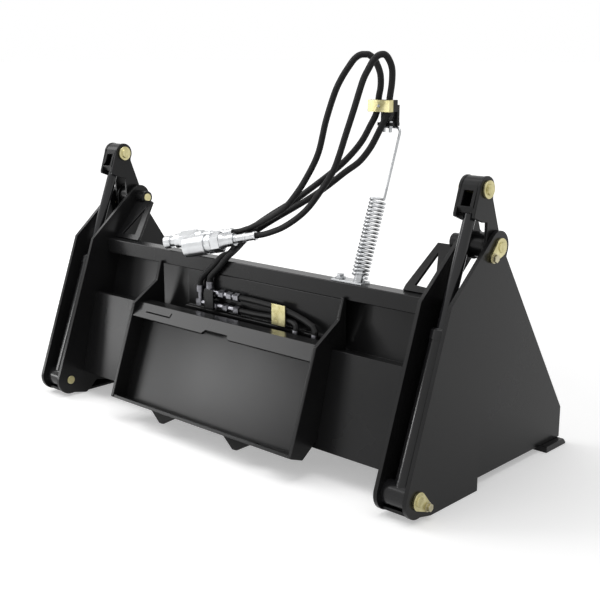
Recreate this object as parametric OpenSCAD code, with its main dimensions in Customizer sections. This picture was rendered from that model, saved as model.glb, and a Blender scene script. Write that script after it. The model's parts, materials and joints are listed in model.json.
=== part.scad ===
// Combination bucket for a compact loader: a fixed back shell and a clam
// that opens on two side hinges, each worked by its own cylinder.
// Millimetres. +X is the machine's right side, +Y forward, +Z up.

/* [Output] */
// node to draw, or all of them

/* [Overall] */
// width over the outer side cheeks
overall_width = 1067; // [1040:1:1100]
// height of the clam hinge above the ground
hinge_z = 444.5; // [440:0.5:450]
// base pin behind the clam hinge
base_back = 221.8; // [218:0.1:224]
// underside of the base pin's cross tube above the ground
base_z = 16.5; // [15.5:0.5:18.5]
// front of the cutting edge ahead of the clam hinge
front_reach = 285; // [280:1:300]

/* [Side cheeks] */
// plate thickness of all four cheeks
cheek_t = 8; // [8:0.5:8]
// free width between an inner and an outer cheek
pocket_gap = 54.5; // [54.5:0.1:54.6]
// round nose of an outer cheek about the hinge
nose_r = 29; // [28:0.5:30]
// round nose of an inner cheek about the hinge
inner_nose_r = 27.5; // [26:0.5:28]
// rear knee behind the hinge
knee_back = 141; // [139:1:143]
// rear knee above the ground
knee_z = 360; // [356:1:362]
// round foot about the base pin
foot_r = 33; // [32:0.5:34]
// cheek front edge behind the hinge
cheek_front = 40; // [39:0.5:41]
// chamfer starts this far behind the hinge
chamfer_back = 239; // [237:1:240]
// chamfer starts this high
chamfer_z = 12; // [11:0.5:13]
// foot flat starts this far behind the hinge
flat_back = 183; // [180:1:185]
// inner cheek step foot, behind the hinge
step_back = 149; // [147:1:151]
// inner cheek step height
step_z = 24; // [22:1:25]
// inner cheek toe height
toe_z = 1; // [1:0.5:2]
// inner cheek shoulder under its nose, behind the hinge
shoulder_back = 65; // [64:0.5:66]
// inner cheek front edge under the shoulder, behind the hinge
waist_back = 56; // [54:1:58]

/* [Shell] */
// moldboard sheet
sheet_t = 6; // [5:0.5:6]
// heel behind the hinge
heel_back = 186; // [184:1:188]
// heel above the ground
heel_z = 53; // [51:1:55]
// rear rim of the ledge behind the hinge
rim_back = 141; // [140:1:143]
// rear rim of the ledge above the ground
rim_z = 237; // [235:1:239]
// inner end of the ledge behind the hinge
ledge_back = 92; // [90:1:94]
// inner end of the ledge above the ground
ledge_z = 225.5; // [224:0.5:227]
// front of the floor above the ground
floor_z = 17.5; // [17:0.5:19]
// how far the sheet laps the beam
beam_lap = 15; // [12:1:18]
// fixed edge bar, width
edge_w = 45; // [40:1:50]
// fixed edge bar, thickness
edge_t = 8; // [6:0.5:9]
// square tube of the top beam
beam_size = 32; // [31:0.5:33]
// wall of the beam tube
beam_wall = 4; // [3:0.5:5]
// top of the beam above the ground
beam_top = 356; // [355:1:357]
// rear face of the beam behind the hinge
beam_back = 100.4; // [100:0.1:101]

/* [Manifold plate] */
// plate thickness
mani_t = 6; // [5:0.5:6]
// left end from the middle
mani_left = 179; // [176:1:182]
// lower edge above the ground
mani_z = 240; // [239:1:243]
// small flange at its lower edge
mani_lip = 11; // [8:1:12]

/* [Loader plate] */
// gusset plate thickness
gusset_t = 8; // [7:0.5:9]
// gusset middle from the centre
gusset_x = 265; // [263:1:267]
// gusset head behind the hinge
gusset_head_back = 108; // [107:1:110]
// gusset head above the ground
gusset_head_z = 330; // [328:1:332]
// gusset neck behind the hinge
gusset_neck_back = 120; // [118:1:122]
// gusset neck above the ground
gusset_neck_z = 290; // [287:1:293]
// gusset shoulder behind the hinge
gusset_shoulder_back = 185; // [184:1:187]
// gusset shoulder above the ground
gusset_shoulder_z = 249; // [249:0.5:251]
// gusset heel behind the hinge
gusset_heel_back = 254; // [253:0.5:254]
// gusset heel above the ground
gusset_heel_z = 52; // [51:0.5:53]
// plate thickness
plate_t = 8; // [7:0.5:8]
// plate foot behind the hinge
plate_back = 221.8; // [220:0.1:222]
// plate foot above the ground
plate_z = 39; // [38:0.5:40]
// plate lean from upright, degrees
plate_lean = 20; // [19:0.5:20.5]
// top of the lip above the ground
lip_top = 248; // [247:0.5:249]
// lower edge of the lip behind the hinge
lip_back = 193; // [192:1:194]
// lip depth along its slope, seen level
lip_drop = 25; // [24:0.5:26]
// lip sheet thickness
lip_t = 6; // [5:0.5:6]
// notch in the middle of the lip, width
notch_w = 82; // [78:1:86]
// notch in the lip, height
notch_h = 9; // [6:0.5:10]
// bottom lip depth
shelf_w = 33; // [32:0.5:33]
// lock slot from the middle
lock_x = 187; // [184:1:190]
// lock slot length
lock_len = 46; // [44:1:50]
// lock slot width
lock_w = 14; // [12:0.5:15]
// guide tab from the middle
tab_x = 110; // [107:1:113]
// guide tab width
tab_w = 78; // [74:1:82]
// guide tab depth
tab_h = 21; // [19:1:22]
// slot in the lip, left end from the middle
lip_slot_x = 227; // [224:1:229]
// slit in the lip, length
lip_slot_len = 79; // [76:1:82]
// slit in the lip, width
slit_w = 3; // [2.5:0.5:3]

/* [Hinge] */
// hinge, base and lever pin diameter
pin_d = 19; // [19:0.1:19]
// radial running clearance of every pin
run_clear = 0.05; // [0.03:0.01:0.08]
// boss length inboard of the inner cheek
boss_len = 26.3; // [25:0.1:28]
// boss diameter
boss_d = 30; // [29:0.5:31]
// plain pin end past the boss
pin_proud = 2; // [1:0.5:3]
// flag plate thickness
flag_t = 5; // [4:0.5:6]
// flag radius about the pin
flag_r = 16.5; // [16:0.5:17]
// flag radius about its bolt
flag_bolt_r = 9; // [8.5:0.5:9.5]
// flag bolt from the pin
flag_reach = 28.5; // [28:0.5:28.5]
// flag bolt diameter
flag_bolt_d = 8; // [8:0.5:9]
// flag bolt head across flats
head_af = 13; // [12:0.5:14]
// flag bolt head height
head_h = 5.5; // [5:0.5:6]
// boss gusset foot, its width along the beam from the inner cheek
brace_foot_x = 81; // [78:1:83]
// boss gusset thickness
brace_t = 6; // [5:0.5:7]

/* [Clam] */
// side plate thickness
clam_t = 6; // [6:0.5:6]
// lever plate thickness
lever_t = 6; // [6:0.5:6]
// side play beside a lever plate
side_play = 1.5; // [1.5:0.1:1.6]
// free width between the lever plates
lever_gap = 33; // [33:0.5:33]
// side plate nose about the hinge
clam_nose_r = 27; // [26:0.5:28]
// side plate front, upper corner above the ground
clam_corner_z = 76.5; // [74:0.5:80]
// side plate front ahead of the hinge
clam_front = 282; // [278:1:283]
// side plate rear corner behind the hinge
clam_back = 38; // [37:0.5:38]
// floor sheet
clam_floor_t = 8; // [7:0.5:9]
// cutting edge width
blade_w = 76; // [74:1:80]
// cutting edge thickness
blade_t = 12.7; // [12.5:0.1:13]
// cutting edge end inside the outer cheek face
blade_inset = 1.5; // [1:0.5:2]
// hub tube about the hinge
hub_d = 46; // [44:1:48]
// lever pin above the hinge
lever_up = 103.2; // [103:0.1:103.5]
// lever pin behind the hinge
lever_back = 31.2; // [31:0.1:31.5]
// lever plate radius about its pin
lever_r = 23; // [22:0.5:23]
// pin disc diameter
disc_d = 32; // [31:0.5:33]
// pin disc thickness
disc_t = 5; // [4:0.5:5]
// raised centre of the disc
disc_boss_t = 3; // [2:0.5:3]

/* [Cylinders] */
// rod diameter
rod_d = 22; // [21:0.5:22]
// barrel outside diameter
barrel_d = 37; // [36:0.5:38]
// barrel bore
bore_d = 31; // [30:0.5:32]
// gland collar diameter
gland_d = 40; // [39:0.5:41]
// gland top from the lever pin
gland_top = 251; // [249:1:253]
// gland collar length
gland_len = 21; // [20:0.5:22]
// wear ring at the rod, collar and barrel joint
step_ring = 3; // [2:0.5:4]
// cross tube at the base pin
base_tube_d = 45; // [44:0.5:46]
// gap between bodies
body_gap = 0.3; // [0.3:0.05:0.4]
// piston length
piston_len = 22; // [20:1:24]
// yoke strap thickness
strap_t = 6; // [5:0.5:6]
// yoke strap inner radius
strap_r = 16; // [16:0.5:16.5]
// yoke length from the pin to its foot
yoke_len = 47; // [46:0.5:48]
// yoke window height
window_h = 28; // [26:1:28]
// yoke window top under the pin
window_drop = 9; // [8:0.5:9]
// yoke window width
window_w = 19; // [18:0.5:20]
// hydraulic port boss diameter
port_d = 16; // [15:0.5:18]
// hydraulic port boss height
port_h = 9; // [8:0.5:10]

/* [Hose guide] */
// guide base from the middle
mast_x = 283; // [281:1:285]
// guide base behind the hinge
mast_back = 82.5; // [81:0.5:84]
// guide lean, degrees
mast_lean = 20; // [19:0.5:21]
// spring wire diameter
wire_d = 5.2; // [5:0.1:5.4]
// spring outside diameter
spring_d = 33; // [32:0.5:34]
// spring length
spring_len = 156; // [155:1:160]
// curls
curls = 21; // [20:1:22]
// straight wire above the spring
leg_len = 127; // [125:1:129]
// base plate length
mast_plate_w = 74; // [72:1:76]
// base plate depth
mast_plate_d = 26; // [25:1:28]
// base plate thickness
mast_plate_t = 4; // [3:0.5:4]

/* [Hoses] */
// hose diameter
hose_d = 12.5; // [12:0.1:13]
// ferrule diameter
ferrule_d = 17; // [16:0.5:17.5]
// socket coupler diameter
socket_d = 45; // [44:0.5:46]
// plug coupler diameter
plug_d = 30; // [29:0.5:31]

/* [Hidden] */
$fn = 48;
steel = [0.13, 0.13, 0.14];
gold = [0.85, 0.67, 0.22];
silver = [0.75, 0.76, 0.78];
rubber = [0.07, 0.07, 0.08];

// straight edges run this far inside the rounds that they leave
seat = 0.05;

half_w = overall_width / 2;
outer_in = half_w - cheek_t;
inner_out = outer_in - pocket_gap;
inner_in = inner_out - cheek_t;
lever_out_hi = outer_in - side_play;
lever_out_lo = lever_out_hi - lever_t;
clam_lo = lever_out_lo - clam_t;
lever_in_hi = lever_out_lo - lever_gap;
lever_in_lo = lever_in_hi - lever_t;
cyl_x = (lever_in_hi + lever_out_lo) / 2;
rear_reach = base_back + foot_r;
mid_y = (front_reach - rear_reach) / 2;
hinge = [0, hinge_z];
base = [-base_back, base_z + base_tube_d / 2];
lever = [-lever_back, hinge_z + lever_up];
reach = lever - base;
reach_len = norm(reach);
cyl_lean = atan2(reach[0], reach[1]);
pin_r = pin_d / 2;
hole_r = pin_r + run_clear;

// rear edge of a cheek, its share of level run for each unit of rise
rake_share = 0.36;
rake_len_share = sqrt(1 + rake_share * rake_share);
knee = [-knee_back, knee_z];
to_hinge = hinge - knee;
slope = atan2(to_hinge[1], to_hinge[0]) + asin(nose_r / norm(to_hinge));

function up_slope(a) = [-sin(a), cos(a)];
function unit(v) = v / norm(v);
function left_of(v) = [-v[1], v[0]];

// sheet section: a path and the same path moved to its left
function side_at(p, i) = let(
    a = unit(p[max(i, 1)] - p[max(i, 1) - 1]),
    b = unit(p[min(i + 1, len(p) - 1)] - p[min(i + 1, len(p) - 1) - 1]),
    n = left_of(a),
    m = left_of(b)) (n + m) / (1 + n * m);
function strip(p, t) = concat(p,
    [for (i = [len(p) - 1 : -1 : 0]) p[i] + side_at(p, i) * t]);

module placed() {
    translate([0, -mid_y, 0]) children();
}
module slab(x, t) {
    translate([x, 0, 0]) rotate([90, 0, 90]) linear_extrude(t) children();
}
module both() {
    children();
    mirror([1, 0, 0]) children();
}
module on_side(s) {
    mirror([s < 0 ? 1 : 0, 0, 0]) children();
}
module rod_x(r, x, len, at) {
    translate([x, at[0], at[1]]) rotate([0, 90, 0]) cylinder(r = r, h = len);
}

// ---- cheeks
module outer_cheek_shape() {
    front = hinge + [1, -rake_share] * (nose_r - seat) / rake_len_share;
    bend_z = front[1] - (front[0] + cheek_front) / rake_share;
    foot = base + [-1, rake_share] * (foot_r - seat) / rake_len_share;
    translate(hinge) circle(nose_r);
    translate(base) circle(foot_r);
    polygon([
        front,
        hinge + up_slope(slope) * (nose_r - seat),
        knee,
        foot,
        base,
        [-chamfer_back, chamfer_z],
        [-flat_back, 0],
        [-cheek_front, 0],
        [-cheek_front, bend_z]]);
}
module inner_cheek_shape() {
    foot = base + [-1, rake_share] * (foot_r - seat) / rake_len_share;
    neck = hinge - up_slope(slope) * (inner_nose_r - seat);
    neck_z = neck[1] - (neck[0] + shoulder_back) * tan(slope);
    translate(hinge) circle(inner_nose_r);
    translate(base) circle(foot_r);
    polygon([
        neck,
        hinge + up_slope(slope) * (inner_nose_r - seat),
        knee,
        foot,
        base,
        [-chamfer_back, chamfer_z],
        [-flat_back, 0],
        [-flat_back + toe_z * 5, 0],
        [-step_back, step_z],
        [-cheek_front, toe_z],
        [-waist_back, neck_z - beam_size],
        [-shoulder_back, neck_z]]);
}
module pin_holes() {
    translate(hinge) circle(hole_r);
    translate(base) circle(hole_r);
}
module outer_cheek(s) {
    color(steel) placed() on_side(s) slab(outer_in, cheek_t) difference() {
        outer_cheek_shape();
        pin_holes();
        flag_holes();
    }
}
module inner_cheek(s) {
    color(steel) placed() on_side(s) slab(inner_in, cheek_t) difference() {
        inner_cheek_shape();
        pin_holes();
    }
}
module foot_plate(s) {
    path = [
        [-chamfer_back, chamfer_z],
        [-flat_back, 0],
        [-cheek_front - sheet_t, 0]];
    color(steel) placed() on_side(s) slab(inner_out, pocket_gap)
        polygon(strip(path, sheet_t));
}
module pocket_shields() {
    color(steel) placed() both() slab(inner_out, pocket_gap)
        polygon([
            [-cheek_front - sheet_t, sheet_t],
            [-cheek_front - sheet_t, knee_z - beam_size / 2],
            [-cheek_front - sheet_t * 2, knee_z - beam_size / 2],
            [-cheek_front - sheet_t * 2, sheet_t]]);
}

// ---- shell
beam_front = beam_back - beam_size;
beam_low = beam_top - beam_size;
shell_path = [
    [-beam_front, beam_low + beam_lap],
    [-beam_front, beam_low],
    [-ledge_back, ledge_z],
    [-rim_back, rim_z],
    [-heel_back, heel_z],
    [-cheek_front, floor_z]];
floor_dir = unit([-cheek_front, floor_z] - [-heel_back, heel_z]);
back_dir = unit([-rim_back, rim_z] - [-heel_back, heel_z]);

module moldboard() {
    color(steel) placed() slab(-inner_in, inner_in * 2) polygon(strip(shell_path, sheet_t));
}
module moldboard_edge() {
    tip = [-cheek_front, floor_z];
    color(steel) placed() slab(-inner_in, inner_in * 2)
        polygon(strip([tip, tip - floor_dir * edge_w], edge_t));
}
module top_beam() {
    color(steel) placed() translate([0, -beam_back + beam_size / 2, beam_top - beam_size / 2])
        difference() {
            cube([inner_in * 2, beam_size, beam_size], center = true);
            cube([inner_in * 2 + beam_size, beam_size - beam_wall * 2,
                beam_size - beam_wall * 2], center = true);
        }
}
module manifold_plate() {
    color(steel) placed() slab(-mani_left, mani_left + gusset_x - gusset_t / 2) polygon([
        [-beam_back, beam_low],
        [-beam_back, mani_z + mani_t],
        [-beam_back - mani_lip, mani_z + mani_t],
        [-beam_back - mani_lip, mani_z],
        [-beam_back + mani_t, mani_z],
        [-beam_back + mani_t, beam_low]]);
}

// ---- loader plate
plate_foot = [-plate_back, plate_z];
plate_dir = [sin(plate_lean), cos(plate_lean)];
plate_top = plate_foot + plate_dir * (lip_top - lip_t - plate_z) / cos(plate_lean);
shelf_dir = [-cos(plate_lean), sin(plate_lean)];

module gusset(s) {
    color(steel) placed() on_side(s) slab(gusset_x - gusset_t / 2, gusset_t) polygon([
        [-beam_back, gusset_head_z],
        [-gusset_head_back, gusset_head_z],
        [-gusset_neck_back, gusset_neck_z],
        [-gusset_shoulder_back, gusset_shoulder_z],
        [-gusset_heel_back, gusset_heel_z + shelf_dir[1]],
        plate_foot + shelf_dir * shelf_w,
        plate_foot,
        [-heel_back, heel_z] + back_dir * edge_w / 3,
        [-rim_back, rim_z],
        [-beam_back, ledge_z + (rim_z - ledge_z) * (beam_back - ledge_back)
            / (rim_back - ledge_back)]]);
}
module loader_plate() {
    w = gusset_x * 2 - gusset_t;
    lip = [-lip_back, lip_top - lip_drop];
    bend = [-lip_back + lip_drop, lip_top];
    color(steel) placed() difference() {
        union() {
            slab(-w / 2, w) polygon([
                plate_foot,
                plate_foot + [plate_t / cos(plate_lean), 0],
                [plate_top[0] + plate_t / cos(plate_lean), plate_top[1]],
                [plate_top[0] + plate_t / cos(plate_lean), lip_top],
                bend,
                lip,
                lip + [lip_t, -lip_t] / sqrt(2),
                bend + [lip_t * tan(22.5), -lip_t],
                [plate_top[0], plate_top[1]]]);
            slab(-w / 2, w) polygon([
                plate_foot - shelf_dir * lip_t,
                plate_foot - shelf_dir * lip_t + plate_dir * lip_t,
                plate_foot + plate_dir * lip_t + shelf_dir * shelf_w,
                plate_foot + shelf_dir * shelf_w]);
        }
        for (x = [-lock_x, lock_x])
            translate([x, -plate_back, plate_z]) rotate([-plate_lean, 0, 0])
                translate([-lock_len / 2, -shelf_w + lock_w / 2, -lip_t])
                cube([lock_len, lock_w, lip_t * 3]);
        translate([0, -lip_back, lip_top - lip_drop]) rotate([45, 0, 0]) {
            translate([-lip_slot_x, lip_drop * 0.55, -lip_t * 2])
                cube([lip_slot_len, slit_w, lip_t * 4]);
            translate([-lip_slot_x + lip_slot_len - slit_w, lip_drop * 0.55, -lip_t * 2])
                cube([slit_w, lip_drop * 0.45, lip_t * 4]);
            translate([0, 0, -lip_t * 2]) linear_extrude(lip_t * 4) polygon([
                [-notch_w / 2, -slit_w],
                [-notch_w / 2 + notch_h, notch_h],
                [notch_w / 2 - notch_h, notch_h],
                [notch_w / 2, -slit_w]]);
        }
    }
}
module plate_tabs() {
    top = plate_foot + shelf_dir * shelf_w / 2;
    color(steel) placed() both() translate([tab_x, top[0], top[1]])
        rotate([-plate_lean, 0, 0]) rotate([90, 0, 0])
        linear_extrude(plate_t, center = true)
        polygon([[-tab_w / 2, 0], [tab_w / 2, 0], [tab_w / 20, -tab_h], [-tab_w / 20, -tab_h]]);
}

// ---- hinge, pins and flags
module hinge_bosses() {
    color(steel) placed() both() difference() {
        rod_x(boss_d / 2, inner_in - boss_len, boss_len, hinge);
        rod_x(hole_r, inner_in - boss_len - pin_r, boss_len + pin_r * 2, hinge);
    }
}
brace_foot = [-beam_front - brace_t, beam_top];
brace_dir = hinge - brace_foot;
brace_lean = atan2(brace_dir[0], brace_dir[1]);
brace_h = norm(brace_dir);
module boss_gussets() {
    w = brace_foot_x;
    outline_shares = [[0, 0], [1, 0], [1, 1], [0.33, 0.95], [0, 0.09]];
    window_shares = [[0.25, 0.12], [0.8, 0.1], [0.45, 0.74]];
    color(steel) placed() both() difference() {
        translate([inner_in - w, brace_foot[0], brace_foot[1]])
            rotate([-brace_lean, 0, 0]) rotate([90, 0, 0])
            linear_extrude(brace_t, center = true) difference() {
                polygon([for (p = outline_shares) [p[0] * w, p[1] * brace_h]]);
                polygon([for (p = window_shares) [p[0] * w, p[1] * brace_h]]);
            }
        rod_x(boss_d / 2, inner_in - boss_len, boss_len + boss_d, hinge);
        rod_x(hole_r + body_gap, inner_in - boss_len - boss_d, boss_len + boss_d, hinge);
        translate([inner_in - w - boss_d, -beam_back, beam_low])
            cube([w + boss_d * 2, beam_size, beam_size]);
    }
}
module flag_shape(dir) {
    b = acos((flag_r - flag_bolt_r) / flag_reach);
    a = atan2(dir[1], dir[0]);
    far = dir * flag_reach;
    p1 = [cos(a + b), sin(a + b)];
    p2 = [cos(a - b), sin(a - b)];
    circle(flag_r);
    translate(far) circle(flag_bolt_r);
    polygon([
        p1 * (flag_r - seat),
        far + p1 * (flag_bolt_r - seat),
        far + p2 * (flag_bolt_r - seat),
        p2 * (flag_r - seat)]);
}
hinge_flag = unit([-0.82, -0.57]);
base_flag = unit([0.81, -0.58]);
module flag_holes() {
    translate(hinge + hinge_flag * flag_reach) circle(flag_bolt_d / 2);
    translate(base + base_flag * flag_reach) circle(flag_bolt_d / 2);
}
module flagged_pin(s, at, dir, from) {
    color(gold) placed() on_side(s) {
        rod_x(pin_r, from, half_w + flag_t + pin_proud - from, at);
        slab(half_w, flag_t) difference() {
            translate(at) flag_shape(dir);
            flag_holes();
        }
    }
}
module hinge_pin(s) {
    flagged_pin(s, hinge, hinge_flag, inner_in - boss_len - pin_proud);
}
module base_pin(s) {
    flagged_pin(s, base, base_flag, inner_in - pin_proud);
}
module flag_bolt(at) {
    rod_x(flag_bolt_d / 2, outer_in, cheek_t + flag_t, at);
    rod_x(flag_bolt_r, half_w + flag_t, pin_proud / 2, at);
    translate([half_w + flag_t + pin_proud / 2, at[0], at[1]]) rotate([0, 90, 0])
        cylinder(r = head_af / sqrt(3), h = head_h, $fn = 6);
}
module flag_bolts() {
    color(silver) placed() both() {
        flag_bolt(hinge + hinge_flag * flag_reach);
        flag_bolt(base + base_flag * flag_reach);
    }
}
module hinge_washers() {
    color(silver) placed() both() {
        difference() {
            rod_x(pin_d, inner_out, lever_in_lo - inner_out - body_gap, hinge);
            rod_x(hole_r, inner_out - pin_r, pocket_gap, hinge);
        }
        difference() {
            rod_x(pin_d, lever_out_hi + body_gap, side_play - body_gap, hinge);
            rod_x(hole_r, inner_out, pocket_gap + pin_d, hinge);
        }
    }
}

// ---- clam
module clam_side(s) {
    rise = [clam_front, clam_corner_z] - hinge;
    a = atan2(rise[1], rise[0]) + acos(clam_nose_r / norm(rise));
    color(steel) placed() on_side(s) slab(clam_lo, clam_t) difference() {
        union() {
            translate(hinge) circle(clam_nose_r);
            polygon([
                hinge + [cos(a), sin(a)] * (clam_nose_r - seat),
                hinge + [-clam_nose_r + seat, 0],
                [-clam_back, blade_t],
                [clam_front, blade_t],
                [clam_front, clam_corner_z]]);
        }
        translate(hinge) circle(hole_r);
    }
}
module clam_floor() {
    color(steel) placed() translate([-clam_lo, -clam_back, blade_t])
        cube([clam_lo * 2, clam_back + clam_front - clam_t, clam_floor_t]);
}
module cutting_edge() {
    bevel = blade_t * 0.7;
    color(steel) placed() slab(-half_w + blade_inset, (half_w - blade_inset) * 2) polygon([
        [front_reach - blade_w, 0],
        [front_reach - blade_w, blade_t],
        [front_reach - bevel, blade_t],
        [front_reach, blade_t - bevel],
        [front_reach, 0]]);
}
module lever_shape() {
    outline_shares = [[-0.49, 1.01], [-0.63, 0.58], [-0.63, 0.53], [-0.37, 0.43],
        [-0.26, 0.42], [-0.25, 0], [0.25, 0], [0.1, 0.25], [-0.11, 0.79], [-0.1, 1.01]];
    difference() {
        translate(hinge) union() {
            circle(clam_nose_r);
            translate([-lever_back, lever_up]) circle(lever_r);
            polygon([for (p = outline_shares) p * norm([lever_back, lever_up])]);
        }
        translate(hinge) circle(hole_r);
        translate(lever) circle(pin_r);
    }
}
module lever_inner(s) {
    color(steel) placed() on_side(s) slab(lever_in_lo, lever_t) lever_shape();
}
module lever_outer(s) {
    color(steel) placed() on_side(s) slab(lever_out_lo, lever_t) lever_shape();
}
module lever_hub(s) {
    color(steel) placed() on_side(s) difference() {
        rod_x(hub_d / 2, lever_in_hi, clam_lo - lever_in_hi, hinge);
        rod_x(hole_r, inner_out, pocket_gap, hinge);
    }
}
module lever_pin(s) {
    color(gold) placed() on_side(s) {
        rod_x(pin_r, lever_in_lo - disc_t - disc_boss_t,
            lever_out_hi - lever_in_lo + (disc_t + disc_boss_t) * 2, lever);
        rod_x(disc_d / 2, lever_in_lo - disc_t, disc_t, lever);
        rod_x(disc_d / 2, lever_out_hi, disc_t, lever);
    }
}

// ---- cylinders, each drawn up from its base pin
function half_round(r) = [for (a = [0 : 10 : 180]) [cos(a), sin(a)] * r];
module along_cylinder(s) {
    placed() on_side(s) translate([cyl_x, base[0], base[1]]) rotate([-cyl_lean, 0, 0])
        children();
}
gland_hi = reach_len - gland_top;
gland_lo = gland_hi - gland_len;
module barrel(s) {
    color(steel) {
        difference() {
            union() {
                placed() on_side(s) rod_x(base_tube_d / 2, inner_out + body_gap,
                    pocket_gap - body_gap * 2, base);
                along_cylinder(s) cylinder(r = barrel_d / 2, h = gland_lo);
                along_cylinder(s) translate([0, 0, gland_lo - port_d * 1.5])
                    rotate([-90, 0, 0]) cylinder(r = port_d / 2, h = barrel_d / 2 + port_h);
                along_cylinder(s) translate([0, 0, base_tube_d])
                    rotate([-90, 0, 0]) cylinder(r = port_d / 2, h = barrel_d / 2 + port_h);
            }
            along_cylinder(s) translate([0, 0, base_tube_d / 2 + beam_wall])
                cylinder(r = bore_d / 2, h = gland_lo);
            placed() on_side(s) rod_x(hole_r, inner_out - pin_r, pocket_gap + pin_d, base);
        }
    }
}
module gland(s) {
    color(steel) along_cylinder(s) difference() {
        union() {
            translate([0, 0, gland_lo]) cylinder(r = gland_d / 2, h = gland_len - step_ring);
            cylinder_top = gland_hi - step_ring;
            translate([0, 0, cylinder_top]) cylinder(r = gland_d / 2 - step_ring, h = step_ring);
        }
        translate([0, 0, gland_lo - gland_len]) cylinder(r = rod_d / 2 + run_clear,
            h = gland_len * 3);
    }
}
module rod(s) {
    piston_hi = gland_lo - step_ring;
    color(steel) along_cylinder(s) {
        translate([0, 0, piston_hi - piston_len])
            cylinder(r = rod_d / 2, h = reach_len - yoke_len - piston_hi + piston_len);
        translate([0, 0, piston_hi - piston_len])
            cylinder(r = bore_d / 2 - run_clear, h = piston_len);
    }
}
module rod_yoke(s) {
    w = lever_gap - body_gap * 2;
    out_r = strap_r + strap_t;
    color(steel) along_cylinder(s) translate([0, 0, reach_len]) difference() {
        slab(-w / 2, w) difference() {
            polygon(concat(half_round(out_r), [
                [-out_r, -yoke_len + strap_t * 1.5],
                [-out_r + strap_t * 1.5, -yoke_len],
                [out_r, -yoke_len]]));
            polygon(concat(half_round(strap_r), [
                [-strap_r, -yoke_len + strap_t * 1.5],
                [strap_r, -yoke_len + strap_t * 1.5]]));
        }
        translate([-window_w / 2, -out_r - strap_t, -window_drop - window_h])
            cube([window_w, out_r, window_h]);
    }
}

// ---- sweeps
function turned(v, axis, a) = v * cos(a) + cross(axis, v) * sin(a)
    + axis * (axis * v) * (1 - cos(a));
function carried(u, t) = unit(u - t * (u * t));
function tangents(p) = [for (i = [0 : len(p) - 1])
    unit(p[min(i + 1, len(p) - 1)] - p[max(i - 1, 0)])];
function ring_frames(t, u0) = [for (i = 0, u = carried(u0, t[0]); i < len(t);
    i = i + 1, u = carried(u, t[min(i, len(t) - 1)])) u];
module tube_along(p, r, sides, u0) {
    t = tangents(p);
    f = ring_frames(t, u0);
    n = len(p);
    rings = [for (i = [0 : n - 1]) for (j = [0 : sides - 1])
        p[i] + turned(f[i], t[i], 360 * j / sides) * r];
    walls = [for (i = [0 : n - 2]) for (j = [0 : sides - 1]) let(k = (j + 1) % sides)
        [i * sides + j, i * sides + k, (i + 1) * sides + k, (i + 1) * sides + j]];
    near_cap = [[for (j = [0 : sides - 1]) sides - 1 - j]];
    far_cap = [[for (j = [0 : sides - 1]) (n - 1) * sides + j]];
    polyhedron(points = rings, faces = concat(
        [for (w = walls) [w[3], w[2], w[1], w[0]]],
        [for (c = near_cap) [for (k = [len(c) - 1 : -1 : 0]) c[k]]],
        [for (c = far_cap) [for (k = [len(c) - 1 : -1 : 0]) c[k]]]));
}

// ---- hose guide
mast_dir = [0, sin(mast_lean), cos(mast_lean)];
mast_foot = [mast_x, -mast_back, beam_top + mast_plate_t];
coil_r = (spring_d - wire_d) / 2;
coil_pitch = (spring_len - wire_d) / curls;
coil_low = (coil_r * sin(mast_lean) + wire_d / 2) / cos(mast_lean);
bend_r = wire_d * 2.4;
side_dir = cross(mast_dir, [1, 0, 0]);
coil_foot = mast_foot + mast_dir * coil_low + [1, 0, 0] * coil_r - side_dir * wire_d;
coil_path = [for (i = [0 : curls * 8]) mast_foot + mast_dir * (coil_low + i * coil_pitch / 8)
    + [1, 0, 0] * coil_r * cos(i * 45) + side_dir * coil_r * sin(i * 45)];
leg_foot = mast_foot + mast_dir * (coil_low + curls * coil_pitch) + [1, 0, 0] * coil_r;
leg_path = [for (k = [1 : 4]) leg_foot + mast_dir * leg_len * k / 4];
bend_mid = leg_path[3] - [1, 0, 0] * bend_r;
arc_path = [for (a = [22.5 : 22.5 : 90]) bend_mid + [1, 0, 0] * bend_r * cos(a)
    + mast_dir * bend_r * sin(a)];
arm_path = [arc_path[3] - [1, 0, 0] * spring_d];
spring_gap = coil_pitch - wire_d;
echo(spring_gap = spring_gap);
module mast_spring() {
    color(silver) placed() tube_along(concat([coil_foot], coil_path, leg_path, arc_path, arm_path),
        wire_d / 2, 6, [1, 0, 0]);
}
module mast_base() {
    color(silver) placed() {
        translate([mast_x - mast_plate_w + spring_d / 2, -mast_back - mast_plate_d / 2, beam_top])
            cube([mast_plate_w, mast_plate_d, mast_plate_t]);
        difference() {
            translate(mast_foot) rotate([-mast_lean, 0, 0]) translate([0, 0, -spring_d / 2])
                cylinder(r = coil_r * cos(22.5) - wire_d / 2 - body_gap, h = spring_d * 1.2);
            translate([mast_x - spring_d, -mast_back - spring_d, beam_top - spring_d * 2])
                cube([spring_d * 2, spring_d * 2, spring_d * 2]);
        }
    }
}
arm_end = arm_path[0];
block_z = arm_end[2] + wire_d / 2;
clamp_off = [17.08, -19.45827, 39.87195];
clamp_mid = arm_end + clamp_off;
grip_w = 47;
grip_h = 22;
grip_front = 10;
grip_back = 14;
cover_t = 2.5;
cover_front = 14;
foot_t = 6;
foot_w = 36;
foot_front = -4;
back_w = 40;
back_h = 39;
bolt_r = 3;
hose_r = hose_d / 2;
module toward(a, b) {
    d = b - a;
    translate(a) rotate([0, acos(d[2] / norm(d)), atan2(d[1], d[0])]) children();
}
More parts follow.
